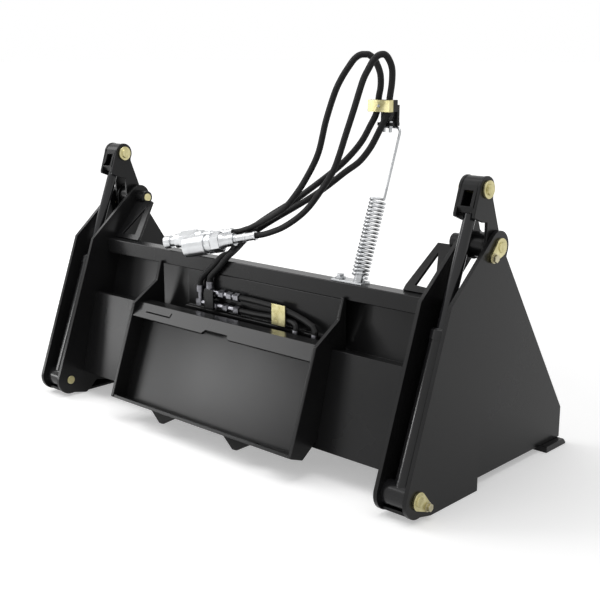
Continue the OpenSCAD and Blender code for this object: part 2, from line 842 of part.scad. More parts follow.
module clamp_plate() {
    inner = [grip_w + run_clear * 2, grip_front + cover_front, grip_h + cover_t];
    color(gold) placed() translate(clamp_mid - [0, cover_front, 0]) difference() {
        translate([-inner[0] / 2 - cover_t, 0, -grip_h / 2])
            cube([inner[0] + cover_t * 2, cover_front - cover_t, grip_h]);
        translate([-inner[0] / 2, cover_front - grip_front - run_clear, -inner[2] / 2])
            cube(inner);
        rotate([-90, 0, 0]) cylinder(r = bolt_r + run_clear, h = cover_front);
    }
}
module clamp_bracket() {
    color(steel) placed() difference() {
        union() {
            translate(clamp_mid - [grip_w / 2, grip_front, grip_h / 2])
                cube([grip_w, grip_front + grip_back, grip_h]);
            translate([clamp_mid[0] + grip_w / 2 - back_w, clamp_mid[1] + grip_back, block_z])
                cube([back_w, foot_t, back_h]);
            translate([clamp_mid[0] + grip_w / 2 - back_w, clamp_mid[1] - foot_front, block_z])
                cube([foot_w, grip_back + foot_front + foot_t * 2, foot_t]);
        }
        for (g = [grip_a, grip_b])
            toward(g[1], g[0]) cylinder(r = hose_r + body_gap, h = norm(g[0] - g[1]));
        translate(clamp_mid - [0, cover_front, 0]) rotate([-90, 0, 0])
            cylinder(r = bolt_r + run_clear, h = cover_front * 3);
        for (x = foot_bolts)
            translate([clamp_mid[0] + x, clamp_mid[1] + foot_bolt_y, block_z - foot_t])
                cylinder(r = bolt_r + run_clear, h = foot_t * 3);
    }
}
foot_bolts = [-3.5, 11.5];
foot_bolt_y = 8.4;
module mast_bolts() {
    color(silver) placed() {
        translate(clamp_mid - [0, cover_front, 0]) rotate([-90, 0, 0]) {
            cylinder(r = bolt_r, h = cover_front + grip_back + foot_t * 2);
            translate([0, 0, cover_front + grip_back + foot_t])
                cylinder(r = bolt_r * 2, h = bolt_r, $fn = 6);
        }
        for (x = foot_bolts)
            translate([clamp_mid[0] + x, clamp_mid[1] + foot_bolt_y, block_z - foot_t * 2]) {
            cylinder(r = bolt_r, h = foot_t * 3 + bolt_r);
            translate([0, 0, foot_t * 2 - bolt_r * 1.4])
                cylinder(r = bolt_r * 1.8, h = bolt_r * 1.4, $fn = 6);
            translate([0, 0, foot_t * 3]) cylinder(r = bolt_r * 1.8, h = bolt_r, $fn = 6);
        }
        translate([mast_x - mast_plate_w + spring_d / 2 + mast_plate_d / 2, -mast_back,
            beam_top + mast_plate_t]) {
            cylinder(r = head_af / 1.3, h = wire_d / 2);
            cylinder(r = head_af / sqrt(3), h = head_h + wire_d / 2, $fn = 6);
        }
    }
}

// ---- hoses, the whole route of each, from its coupler to the manifold
socket_tail = [-162, -118, 374];
socket_end = [-5, -66, 411];
plug_tail = [-247, -103.5, 372.5];
plug_end = [-88, -52, 407];
grip_off_a = [[-10.5, 0, 17], [-15.5, 0, -13]];
grip_off_b = [[15.5, 0, 17], [10.5, 0, -13]];
grip_a = [for (p = grip_off_a) clamp_mid + p];
grip_b = [for (p = grip_off_b) clamp_mid + p];
route_a = [plug_end, plug_end + (plug_end - plug_tail) * 0.1, [-52, -49, 417],
    [-27, -53, 426], [47, -60, 461], [77, -63, 479],
    [99, -63, 500], [126, -60, 535], [154, -54, 587], [169, -49, 649], [185, -43, 701],
    [196, -37, 728], [207, -30, 749], [217, -22, 766], [226, -15, 773], [235, -8, 774],
    [244, -2, 767], [251, 2, 755], [259, 2, 737], [261, 1, 716], grip_a[0], grip_a[1],
    [240, -3, 641], [225, -9, 612], [203, -17, 584], [174, -26, 556], [123, -34, 519],
    [74, -35, 488], [9, -31, 454], [-41, -28, 426], [-68, -31, 406], [-80, -42, 393],
    [-77, -56, 383], [-70, -72, 374], [-66, -87, 368.5], [-69, -101, 365.5], [-78, -109, 354],
    [-93, -110, 340], [-112, -110, 325], [-125, -110, 313],
    [-131, -110, 302], [-131, -110, 296]];
route_b = [socket_end, socket_end + (socket_end - socket_tail) * 0.1, [36, -61, 423],
    [68, -62, 436], [105, -61, 458], [136, -60, 483],
    [169, -60, 520], [197, -59, 557], [210, -56, 589], [223, -54, 626], [238, -49, 673],
    [255, -45, 725], [265, -41, 747], [272, -35, 763], [279, -28, 772], [285, -19, 773],
    [288, -10, 764], [291, -4, 747], [288, 0, 722], grip_b[0], grip_b[1], [264, -6, 632],
    [250, -13, 602], [230, -21, 575], [200, -28, 553], [156, -36, 520], [107, -40, 490],
    [19, -38, 444], [-23, -37, 421], [-43, -43, 406], [-54, -56, 391.5], [-56, -70, 380.5],
    [-52, -86, 374.5], [-52, -100, 367.5], [-58, -109, 356], [-71, -110, 342.5],
    [-90, -110, 326], [-98, -110, 318],
    [-100, -110, 312], [-100, -110, 308]];
module hose_a() {
    color(rubber) placed() tube_along(route_a, hose_r, 8, [0, 1, 0]);
}
module hose_b() {
    color(rubber) placed() tube_along(route_b, hose_r, 8, [0, 1, 0]);
}

// ---- couplers, each drawn from its open end towards its hose
socket_len = norm(socket_end - socket_tail);
plug_len = norm(plug_end - plug_tail);
socket_r = socket_d / 2;
plug_r = plug_d / 2;
mate_r = socket_r * 0.48;
neck_r = socket_r * 0.6;
sleeve_wall = 3;
sleeve_in = socket_r - sleeve_wall;
sleeve_lo = socket_len * 0.09;
sleeve_len = socket_len * 0.215;
sleeve_room = 6;
collar_lo = sleeve_lo + sleeve_len + sleeve_room;
hex_lo = socket_len * 0.4;
hex_hi = socket_len * 0.52;
ferrule_lo = 0.7;
crimp = 1.2;
module socket_coupler() {
    color(silver) placed() toward(socket_tail, socket_end) difference() {
        union() {
            cylinder(r = socket_r * 0.97, h = sleeve_lo);
            cylinder(r = sleeve_in, h = hex_lo);
            translate([0, 0, collar_lo]) cylinder(r = socket_r * 0.97, h = hex_lo - collar_lo);
            translate([0, 0, hex_lo]) cylinder(r = socket_r, h = hex_hi - hex_lo, $fn = 6);
            translate([0, 0, hex_hi])
                cylinder(r1 = socket_r * 0.8, r2 = neck_r, h = socket_len * 0.05);
            translate([0, 0, hex_hi])
                cylinder(r = neck_r, h = socket_len * ferrule_lo - hex_hi);
        }
        cylinder(r = mate_r, h = socket_len * 0.2);
        translate([0, 0, socket_len * 0.2])
            cylinder(r = mate_r * 1.15, h = socket_len * 0.04);
    }
}
module coupler_sleeve() {
    color(silver) placed() toward(socket_tail, socket_end)
        translate([0, 0, sleeve_lo + body_gap]) difference() {
            cylinder(r = socket_r, h = sleeve_len - body_gap);
            translate([0, 0, -sleeve_len])
                cylinder(r = sleeve_in + run_clear, h = sleeve_len * 3);
        }
}
module plug_coupler() {
    color(silver) placed() toward(plug_tail, plug_end) {
        cylinder(r = plug_r * 0.93, h = plug_len * 0.09);
        cylinder(r = plug_r * 0.7, h = plug_len * 0.3);
        translate([0, 0, plug_len * 0.17]) cylinder(r = plug_r * 1.05, h = plug_len * 0.4);
        translate([0, 0, plug_len * 0.25])
            cylinder(r = plug_r * 1.28, h = plug_len * 0.24, $fn = 6);
        translate([0, 0, plug_len * 0.5])
            cylinder(r = plug_r * 0.75, h = plug_len * (ferrule_lo - 0.5));
    }
}
module ferrule(a, b) {
    len = norm(b - a) * (1 - ferrule_lo);
    toward(a, b) translate([0, 0, norm(b - a) * ferrule_lo]) {
        cylinder(r = ferrule_d / 2, h = len);
        for (n = [0, 0.45, 0.9])
            translate([0, 0, len * n]) cylinder(r = ferrule_d / 2 + crimp, h = len / 10);
    }
}
module hose_ferrules() {
    color(silver) placed() {
        ferrule(socket_tail, socket_end);
        ferrule(plug_tail, plug_end);
    }
}

// ---- hydraulic fittings in the recess
row_y = -109.4;
row_high = 286;
row_low = 259;
row_end = -10;
fit_r = hose_d / 2;
nut_r = 9;
nut_len = 14;
elbow_w = 14.4;
module fitting_row(x, z, top) {
    rod_x(fit_r, x, row_end - x - nut_len / 2, [row_y, z]);
    translate([x - elbow_w / 2, row_y - elbow_w / 2, z - elbow_w / 2])
        cube([elbow_w, elbow_w, elbow_w]);
    translate([x, row_y, z]) cylinder(r = fit_r * 0.9, h = top - z - nut_len / 2);
    translate([x, row_y, top - nut_len]) cylinder(r = nut_r, h = nut_len);
    for (n = [0.35, 0.62])
        translate([x + (row_end - x) * n, row_y, z]) rotate([0, 90, 0])
            cylinder(r = nut_r, h = nut_len, $fn = 6);
    translate([row_end - nut_len, row_y, z]) rotate([0, 90, 0])
        cylinder(r = nut_r, h = nut_len, $fn = 6);
}
module tee_fittings() {
    color(silver) placed() {
        fitting_row(route_b[len(route_b) - 1][0], row_high, route_b[len(route_b) - 1][2]);
        fitting_row(route_a[len(route_a) - 1][0], row_low, route_a[len(route_a) - 1][2]);
        ledge_port(port_x[0]);
        ledge_port(port_x[1]);
    }
}
port_y = -122;
port_slope = atan2(rim_z - ledge_z, rim_back - ledge_back);
port_z = ledge_z + (-port_y - ledge_back) * tan(port_slope);
port_x = [206, 156];
port_top = 15.6;
port_lead = 20;
run_high = [[row_end, row_y, row_high], [25, row_y, row_high], [60, row_y, 285], [90, row_y, 284],
    [120, row_y, 281], [150, -110, 275], [176, -112, 269], [198, -114.5, 262],
    port_place(port_x[0], port_lead), port_place(port_x[0], port_top)];
run_low = [[row_end, row_y, row_low], [25, row_y, row_low], [55, row_y, 260], [83, row_y, 261.5],
    [110, row_y, 262.5], [132, -110, 262], [147, -113, 260.5], [154, -116, 257],
    port_place(port_x[1], port_lead), port_place(port_x[1], port_top)];
function port_place(x, up) = [x, port_y + up * sin(port_slope), port_z + up * cos(port_slope)];
module ledge_port(x) {
    translate(port_place(x, 0)) rotate([-port_slope, 0, 0]) {
        cylinder(r = nut_r, h = nut_len * 0.6, $fn = 6);
        cylinder(r = fit_r + nut_r * 0.1, h = port_top);
    }
}
module recess_hoses() {
    color(rubber) placed() {
        tube_along(run_high, hose_r, 8, [0, 1, 0]);
        tube_along(run_low, hose_r, 8, [0, 1, 0]);
    }
}
hold_w = 37;
hold_x = 89;
small_w = 27;
small_x = -81;
hold_t = 3;
module hose_clamps() {
    color(gold) placed() {
        for (c = [[hold_x, hold_w, hose_r], [small_x - small_w, small_w, nut_r * 0.9]]) {
            hold_y = row_y - c[2];
            translate([c[0], hold_y - hold_t, row_low - nut_r])
                cube([c[1], hold_t, row_high - row_low + nut_r * 1.7]);
            translate([c[0] + c[1] / 2, hold_y, (row_high + row_low) / 2])
                rotate([-90, 0, 0]) cylinder(r = bolt_r, h = -beam_back - hold_y);
        }
    }
}

moldboard();
top_beam();
manifold_plate();
loader_plate();
gusset(-1);  // loader_gusset_left
gusset(1);  // loader_gusset_right
plate_tabs();
inner_cheek(-1);  // inner_cheek_left
inner_cheek(1);  // inner_cheek_right
outer_cheek(-1);  // outer_cheek_left
outer_cheek(1);  // outer_cheek_right
foot_plate(-1);  // foot_plate_left
foot_plate(1);  // foot_plate_right
pocket_shields();
hinge_bosses();
boss_gussets();
moldboard_edge();
hinge_pin(-1);  // hinge_pin_left
hinge_pin(1);  // hinge_pin_right
base_pin(-1);  // base_pin_left
base_pin(1);  // base_pin_right
flag_bolts();
hinge_washers();
clam_floor();
cutting_edge();
clam_side(-1);  // clam_side_left
clam_side(1);  // clam_side_right
lever_inner(-1);  // lever_inner_left
lever_inner(1);  // lever_inner_right
lever_outer(-1);  // lever_outer_left
lever_outer(1);  // lever_outer_right
lever_hub(-1);  // lever_hub_left
lever_hub(1);  // lever_hub_right
lever_pin(-1);  // lever_pin_left
lever_pin(1);  // lever_pin_right
barrel(-1);  // barrel_left
barrel(1);  // barrel_right
gland(-1);  // gland_left
gland(1);  // gland_right
rod(-1);  // rod_left
rod(1);  // rod_right
rod_yoke(-1);  // rod_yoke_left
rod_yoke(1);  // rod_yoke_right
mast_base();
mast_spring();
clamp_bracket();
clamp_plate();
mast_bolts();
hose_a();
hose_b();
socket_coupler();
coupler_sleeve();
plug_coupler();
hose_ferrules();
tee_fittings();
recess_hoses();
hose_clamps();
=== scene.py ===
# %% [markdown]
# A combination bucket for a compact loader. Its steelwork comes from the CAD
# model as a fixed frame, so nothing here moves a plate. This file rounds the
# cut edges, gives each piece its paint or plating, lays the two hydraulic
# hoses and winds the sprung guide that carries them.
# %% Load the frame
import json
import math
import bmesh
import bpy
import numpy as np
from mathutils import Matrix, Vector


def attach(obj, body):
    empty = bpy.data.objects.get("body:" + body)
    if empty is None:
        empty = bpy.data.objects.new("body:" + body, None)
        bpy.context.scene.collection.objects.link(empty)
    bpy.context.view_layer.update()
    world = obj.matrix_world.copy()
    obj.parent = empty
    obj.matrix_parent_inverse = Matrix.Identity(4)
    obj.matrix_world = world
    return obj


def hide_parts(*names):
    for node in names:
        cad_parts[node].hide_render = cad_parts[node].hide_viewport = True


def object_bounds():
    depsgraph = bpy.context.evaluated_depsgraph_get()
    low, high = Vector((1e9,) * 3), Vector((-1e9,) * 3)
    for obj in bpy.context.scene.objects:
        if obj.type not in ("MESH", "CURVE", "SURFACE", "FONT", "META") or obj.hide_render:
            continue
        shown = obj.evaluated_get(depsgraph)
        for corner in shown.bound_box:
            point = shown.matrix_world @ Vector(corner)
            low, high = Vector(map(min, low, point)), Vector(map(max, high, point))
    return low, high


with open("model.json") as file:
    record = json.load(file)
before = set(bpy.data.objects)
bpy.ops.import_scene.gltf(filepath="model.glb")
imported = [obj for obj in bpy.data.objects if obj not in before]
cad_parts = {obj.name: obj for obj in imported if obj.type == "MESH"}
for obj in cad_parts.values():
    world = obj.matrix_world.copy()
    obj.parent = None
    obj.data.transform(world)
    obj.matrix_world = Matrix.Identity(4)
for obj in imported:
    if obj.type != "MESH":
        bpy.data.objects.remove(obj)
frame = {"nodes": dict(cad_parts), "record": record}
cad_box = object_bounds()
RECORD = frame["record"]
BODY_OF = {n: b for b, ns in RECORD["behaviour"]["bodies"].items() for n in ns}
SLOT_OF = {s["node"]: s["material_slot"] for s in RECORD["subparts"]}
print("nodes", len(frame["nodes"]), "box", cad_box)

# %% [markdown]
# The camera stands behind the bucket's right corner, a little above it. Its
# place and lens were solved from straight edges and pins in the photograph.
# %% Camera
CAMERA_AT = (1.4979, -1.5678, 0.7694)
CAMERA_TILT = math.radians(76.83)
CAMERA_TURN = math.radians(42.87)
LENS_MM = 62.43
SENSOR_MM = 36.0
FARTHEST_SEEN = 400.0

cam_data = bpy.data.cameras.new("photo_camera")
cam_data.lens = LENS_MM
cam_data.sensor_width = SENSOR_MM
cam_data.clip_end = FARTHEST_SEEN
camera = bpy.data.objects.new("photo_camera", cam_data)
camera.location = CAMERA_AT
camera.rotation_euler = (CAMERA_TILT, 0.0, CAMERA_TURN)
bpy.context.collection.objects.link(camera)
bpy.context.scene.camera = camera
print("camera at", CAMERA_AT, "lens", LENS_MM)

# %% [markdown]
# A hose and a bent wire are the same thing: a round section carried along a
# middle line. The line is a smooth curve through points chosen along the real
# route, and each ring of the skin must not twist against the one before it.
# %% The middle line of a tube
MM = 0.001
MID_Y = 15.1


def in_frame(points):
    """Subtract the distance from the hinge axis to the middle of the depth,
    and turn millimetres into metres."""
    return (np.asarray(points, float) - [0, MID_Y, 0]) * MM


def smooth_line(points, steps):
    """Catmull-Rom: each stretch is a cubic whose slope at a point is half
    the vector between that point's two neighbours."""
    p = np.asarray(points, float)
    q = np.vstack([2 * p[0] - p[1], p, 2 * p[-1] - p[-2]])
    u = np.linspace(0, 1, steps, endpoint=False)[:, None]
    a, b, c, d = q[:-3, None], q[1:-2, None], q[2:-1, None], q[3:, None]
    line = 0.5 * (2 * b + (c - a) * u + (2 * a - 5 * b + 4 * c - d) * u ** 2
                  + (3 * b - a - 3 * c + d) * u ** 3)
    return np.vstack([line.reshape(-1, 3), p[-1]])


def line_length(line):
    """The sum of the distances from each point to the next."""
    return float(np.linalg.norm(np.diff(line, axis=0), axis=1).sum())


def carried_sides(line, start):
    """Two side vectors at each point. The tangent comes from central
    differences. The first side vector is the one before it less its part
    along the new tangent, and the second is the tangent crossed with it.
    It starts from any vector that isn't along the line."""
    tangent = np.gradient(line, axis=0)
    tangent /= np.linalg.norm(tangent, axis=1)[:, None]
    side = np.empty_like(tangent)
    carried = np.asarray(start, float)
    for i, t in enumerate(tangent):
        carried = carried - t * (carried @ t)
        carried = carried / np.linalg.norm(carried)
        side[i] = carried
    return side, np.cross(tangent, side)


print("a straight metre measures", line_length(np.array([[0, 0, 0], [1, 0, 0]])))

# %% [markdown]
# The skin is a grid of points, along the tube and around it. Blender gets it
# as plain faces, with a UV map that runs around and along, so that a woven
# cover can follow the hose wherever it bends.
# %% The skin of a tube
SMOOTH_BELOW = math.radians(50)


def tube_uv(grid, loop_points, quad_loops):
    """U is the share of the way around and V is the metres along the middle
    line. Past the last column U goes on to 1 instead of back to 0."""
    around_count = grid.shape[1]
    step = np.linalg.norm(np.diff(grid.mean(axis=1), axis=0), axis=1)
    metres = np.concatenate([[0], np.cumsum(step)])
    uv = np.stack([(loop_points % around_count) / around_count,
                   metres[loop_points // around_count]], axis=1)
    last_column = (np.arange(quad_loops) // 4) % around_count == around_count - 1
    first_point = loop_points[:quad_loops] % around_count == 0
    uv[:quad_loops, 0] += last_column & first_point
    return uv.astype(np.float32)


def mesh_from_grid(name, grid):
    """A closed tube from grid[i, j], with i along it and j around it. Quads
    join neighbours, and one many-sided face closes each end."""
    rings, sides = grid.shape[:2]
    idx = np.arange(rings * sides).reshape(rings, sides)
    nxt = np.roll(idx, -1, axis=1)
    quads = np.stack([idx[:-1], nxt[:-1], nxt[1:], idx[1:]], axis=-1).reshape(-1, 4)
    ends = [idx[0, ::-1].tolist(), idx[-1].tolist()]
    me = bpy.data.meshes.new(name)
    me.from_pydata(grid.reshape(-1, 3).tolist(), [], quads.tolist() + ends)
    loop_points = np.empty(len(me.loops), int)
    me.loops.foreach_get("vertex_index", loop_points)
    uv_map = me.uv_layers.new(name="surface")
    uv_map.data.foreach_set("uv", tube_uv(grid, loop_points, quads.size).ravel())
    obj = bpy.data.objects.new(name, me)
    bpy.context.collection.objects.link(obj)
    return obj


def tube(name, line, radius, sides, start):
    """Each ring point is the middle line plus the radius times (cosine of its
    angle times one side vector, plus sine times the other)."""
    line = np.asarray(line, float)
    u, v = carried_sides(line, start)
    a = np.linspace(0, 2 * np.pi, sides, endpoint=False)[None, :, None]
    grid = line[:, None] + radius * (np.cos(a) * u[:, None] + np.sin(a) * v[:, None])
    obj = mesh_from_grid(name, grid)
    smooth = np.ones(len(obj.data.polygons), bool)
    obj.data.polygons.foreach_set("use_smooth", smooth)
    obj.data.set_sharp_from_angle(angle=SMOOTH_BELOW)
    return obj


print("edges sharper than", round(math.degrees(SMOOTH_BELOW)), "degrees stay sharp")

# %% [markdown]
# Each hose runs from its coupling on the beam, up and through the clamp of
# the sprung guide, and down again to the fittings in the recess. Such hoses
# are stiff: they stand in wide arches and don't sag like a rope. The points
# are those of the CAD source, in millimetres, with y from the hinge axis and
# z from the ground.
# %% Hose routes
ROUTE_A = [
    (-88, -52, 407), (-72.1, -46.9, 410.4), (-52, -49, 417), (-27, -53, 426),
    (47, -60, 461), (77, -63, 479), (99, -63, 500), (126, -60, 535), (154, -54, 587),
    (169, -49, 649), (185, -43, 701), (196, -37, 728), (207, -30, 749), (217, -22, 766),
    (226, -15, 773), (235, -8, 774), (244, -2, 767), (251, 2, 755), (259, 2, 737),
    (261, 1, 716), (258, 0, 697), (253, 0, 667), (240, -3, 641), (225, -9, 612),
    (203, -17, 584), (174, -26, 556), (123, -34, 519), (74, -35, 488), (9, -31, 454),
    (-41, -28, 426), (-68, -31, 406), (-80, -42, 393), (-77, -56, 383), (-70, -72, 374),
    (-66, -87, 368.5), (-69, -101, 365.5), (-78, -109, 354), (-93, -110, 340),
    (-112, -110, 325), (-125, -110, 313), (-131, -110, 302), (-131, -110, 296)]
ROUTE_B = [
    (-5, -66, 411), (10.7, -60.8, 414.7), (36, -61, 423), (68, -62, 436),
    (105, -61, 458), (136, -60, 483), (169, -60, 520), (197, -59, 557), (210, -56, 589),
    (223, -54, 626), (238, -49, 673), (255, -45, 725), (265, -41, 747), (272, -35, 763),
    (279, -28, 772), (285, -19, 773), (288, -10, 764), (291, -4, 747), (288, 0, 722),
    (284, 0, 697), (279, 0, 667), (264, -6, 632), (250, -13, 602), (230, -21, 575),
    (200, -28, 553), (156, -36, 520), (107, -40, 490), (19, -38, 444), (-23, -37, 421),
    (-43, -43, 406), (-54, -56, 391.5), (-56, -70, 380.5), (-52, -86, 374.5),
    (-52, -100, 367.5), (-58, -109, 356), (-71, -110, 342.5), (-90, -110, 326),
    (-98, -110, 318), (-100, -110, 312), (-100, -110, 308)]
print("route points", len(ROUTE_A), len(ROUTE_B))

# %% [markdown]
# Six stretches between two route points and 24 sides are enough for a hose to
# look round up close. A smooth curve can rise a little over its points, so
# the top of each arch is held under the roof of the CAD model's box.
# %% Hoses
HOSE_D = 12.5
HOSE_STEPS = 6
HOSE_SIDES = 24
ROOF = cad_box[1][2] - HOSE_D / 2 * MM

hoses = {}
for node, route in (("hose_a", ROUTE_A), ("hose_b", ROUTE_B)):
    line = smooth_line(in_frame(route), HOSE_STEPS)
    line[:, 2] = np.minimum(line[:, 2], ROOF)
    obj = tube(node + "_cover", line, HOSE_D / 2 * MM, HOSE_SIDES, start=(0, 1, 0))
    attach(obj, "frame")
    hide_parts(node)
    hoses[node] = (obj, line)
    print(obj.name, "length", round(line_length(line), 3))

# %% [markdown]
# A shader is a small network of nodes. These helpers keep the networks
# readable: they make a node with its values set, link its sockets, and start
# a node group.
# %% Helpers for shader nodes
def node_in(tree, kind, **values):
    """A new node. A value goes to the socket of that name, where there is
    one, and otherwise to the node's own setting."""
    node = tree.nodes.new(kind)
    for key, value in values.items():
        if key in node.inputs:
            node.inputs[key].default_value = value
        else:
            setattr(node, key, value)
    return node


def math_node(tree, operation, *numbers):
    """A maths node, with each number that isn't None set on its socket."""
    node = node_in(tree, "ShaderNodeMath", operation=operation)
    for socket, number in zip(node.inputs, numbers):
        if number is not None:
            socket.default_value = number
    return node


def join(tree, *pairs):
    """Links the first socket of each pair to the second."""
    for source, target in pairs:
        tree.links.new(source, target)


def new_group(name, inputs, outputs):
    """An empty node group with named sockets, and its two end nodes."""
    group = bpy.data.node_groups.new(name, "ShaderNodeTree")
    for label, kind, value in inputs:
        socket = group.interface.new_socket(label, in_out="INPUT", socket_type=kind)
        socket.default_value = value
    for label, kind in outputs:
        group.interface.new_socket(label, in_out="OUTPUT", socket_type=kind)
    return group, group.nodes.new("NodeGroupInput"), group.nodes.new("NodeGroupOutput")


print("node helpers: node_in, math_node, join, new_group")

# %% [markdown]
# Paint and plating are never one flat colour. This group gives every finish a
# slow mottle and a fine grain, and each material sets its own scale and
# strength. Fed with Object coordinates, the pattern stays on the metal.
# %% Node group for mottle and grain
MOTTLE_IN_HEIGHT = 0.35
finish_group, group_start, group_end = new_group(
    "surface_variation",
    [("Coordinates", "NodeSocketVector", (0, 0, 0)),
     ("Mottle scale", "NodeSocketFloat", 6.0),
     ("Grain scale", "NodeSocketFloat", 900.0),
     ("Dark", "NodeSocketColor", (0, 0, 0, 1)),
     ("Light", "NodeSocketColor", (1, 1, 1, 1)),
     ("Rough low", "NodeSocketFloat", 0.3),
     ("Rough high", "NodeSocketFloat", 0.4)],
    [("Color", "NodeSocketColor"), ("Roughness", "NodeSocketFloat"),
     ("Height", "NodeSocketFloat")])
given = group_start.outputs
result = group_end.inputs
mottle = node_in(finish_group, "ShaderNodeTexNoise", Detail=4.0, Roughness=0.55)
grain = node_in(finish_group, "ShaderNodeTexNoise", Detail=2.0, Roughness=0.6)
spread = node_in(finish_group, "ShaderNodeMapRange", interpolation_type="SMOOTHSTEP",
                 **{"From Min": 0.22, "From Max": 0.78})
tint = node_in(finish_group, "ShaderNodeMix", data_type="RGBA")
rough = node_in(finish_group, "ShaderNodeMix", data_type="FLOAT")
height = math_node(finish_group, "MULTIPLY_ADD", None, MOTTLE_IN_HEIGHT)
join(finish_group,
     (given["Coordinates"], mottle.inputs["Vector"]),
     (given["Coordinates"], grain.inputs["Vector"]),
     (given["Mottle scale"], mottle.inputs["Scale"]),
     (given["Grain scale"], grain.inputs["Scale"]),
     (mottle.outputs["Fac"], spread.inputs["Value"]),
     (spread.outputs["Result"], tint.inputs["Factor"]),
     (given["Dark"], tint.inputs["A"]),
     (given["Light"], tint.inputs["B"]),
     (tint.outputs["Result"], result["Color"]),
     (spread.outputs["Result"], rough.inputs["Factor"]),
     (given["Rough low"], rough.inputs["A"]),
     (given["Rough high"], rough.inputs["B"]),
     (rough.outputs["Result"], result["Roughness"]),
     (mottle.outputs["Fac"], height.inputs[0]),
     (grain.outputs["Fac"], height.inputs[2]),
     (height.outputs["Value"], result["Height"]))
print("group nodes", len(finish_group.nodes))

# %% [markdown]
# One function builds a material round the group: the two colours it drifts
# between, its range of roughness, and how deep the grain is. Metals are
# fully metallic, and powder coat is a dielectric with a soft sheen.
# %% A finish
BUMP_STRENGTH = 0.5
COAT_ROUGHNESS = 0.12


def varied(tree, **values):
    """A copy of the group in one material, with its own values."""
    group = tree.nodes.new("ShaderNodeGroup")
    group.node_tree = finish_group
    for label, value in values.items():
        group.inputs[label.replace("_", " ")].default_value = value
    return group


def finish(name, dark, light, rough_range, metallic=0.0, grain=900.0, depth=0.00002,
           mottle=6.0, coat=0.0, specular=0.5):
    """Colour, roughness and bump come from the group. What is the same all
    over the surface is set on the shader's own sockets."""
    material = bpy.data.materials.new(name)
    material.use_nodes = True
    tree = material.node_tree
    shader = tree.nodes["Principled BSDF"]
    coords = tree.nodes.new("ShaderNodeTexCoord")
    group = varied(tree, Mottle_scale=mottle, Grain_scale=grain, Dark=(*dark, 1),
                   Light=(*light, 1), Rough_low=rough_range[0],
                   Rough_high=rough_range[1])
    bump = node_in(tree, "ShaderNodeBump", Strength=BUMP_STRENGTH, Distance=depth)
    join(tree,
         (coords.outputs["Object"], group.inputs["Coordinates"]),
         (group.outputs["Color"], shader.inputs["Base Color"]),
         (group.outputs["Roughness"], shader.inputs["Roughness"]),
         (group.outputs["Height"], bump.inputs["Height"]),
         (bump.outputs["Normal"], shader.inputs["Normal"]))
    shader.inputs["Metallic"].default_value = metallic
    shader.inputs["Specular IOR Level"].default_value = specular
    shader.inputs["Coat Weight"].default_value = coat
    shader.inputs["Coat Roughness"].default_value = COAT_ROUGHNESS
    return material


MATERIALS = {}

# %% [markdown]
# The plates wear satin powder coat with a faint orange-peel skin. The
# cylinders have a smoother, glossier paint and the rods a polished black.
# The two tabs under the loader plate get a duller and darker paint: painted shade, for the
# shadow they sit in under the plate.
# %% Paints
MATERIALS["satin_black"] = finish(
    "powder_coat", (0.008, 0.008, 0.0083), (0.013, 0.013, 0.0135), (0.23, 0.28),
    grain=650, mottle=4, specular=0.2)
# Painted shade: a darker, duller black for the tabs that sit in shadow under the loader
# plate.
MATERIALS["shaded_black"] = finish(
    "tab_painted_shade", (0.004, 0.004, 0.004), (0.007, 0.007, 0.007), (0.45, 0.55),
    grain=650, depth=0.00003, specular=0.1)
MATERIALS["barrel_black"] = finish(
    "cylinder_paint", (0.009, 0.009, 0.0095), (0.014, 0.014, 0.015), (0.14, 0.22),
    grain=500, coat=0.1, specular=0.25)
MATERIALS["rod_black"] = finish(
    "rod_polish", (0.012, 0.012, 0.013), (0.018, 0.018, 0.02), (0.10, 0.18),
    grain=1200, depth=0.00001, coat=0.15, specular=0.3)
print("paints", sorted(MATERIALS))

# %% [markdown]
# Zinc on the pins is passivated yellow and drifts in tone within millimetres,
# so its mottle is fine. The flag bolts are greyer, as old zinc is. The guide
# is clear zinc, the couplings are bright and the small fittings dark.
# %% Platings
MATERIALS["gold_zinc"] = finish(
    "yellow_zinc", (0.40, 0.36, 0.17), (0.66, 0.61, 0.35), (0.24, 0.40),
    metallic=1.0, grain=1500, mottle=70)
MATERIALS["bolt_zinc"] = finish(
    "aged_zinc", (0.34, 0.31, 0.20), (0.56, 0.52, 0.36), (0.28, 0.42),
    metallic=1.0, grain=1500, mottle=70)
MATERIALS["silver_zinc"] = finish(
    "clear_zinc", (0.34, 0.35, 0.36), (0.56, 0.57, 0.58), (0.20, 0.34),
    metallic=1.0, grain=1500, mottle=40)
MATERIALS["coupler_silver"] = finish(
    "bright_plate", (0.52, 0.53, 0.54), (0.72, 0.73, 0.74), (0.24, 0.36),
    metallic=1.0, mottle=26)
MATERIALS["fitting_dark"] = finish(
    "dark_plate", (0.10, 0.10, 0.11), (0.26, 0.26, 0.28), (0.25, 0.38),
    metallic=1.0, grain=1300, mottle=60)
print("paints and platings", len(MATERIALS))

# %% [markdown]
# The hoses wear a woven cover. Two sets of slanting stripes cross each other
# on the hose's own UV map, around and along, and the higher of the two sets
# wins at each point. That gives the small over-and-under bumps of a braid.
# %% Braid pattern
STRANDS = 14
TURNS_PER_METRE = 180


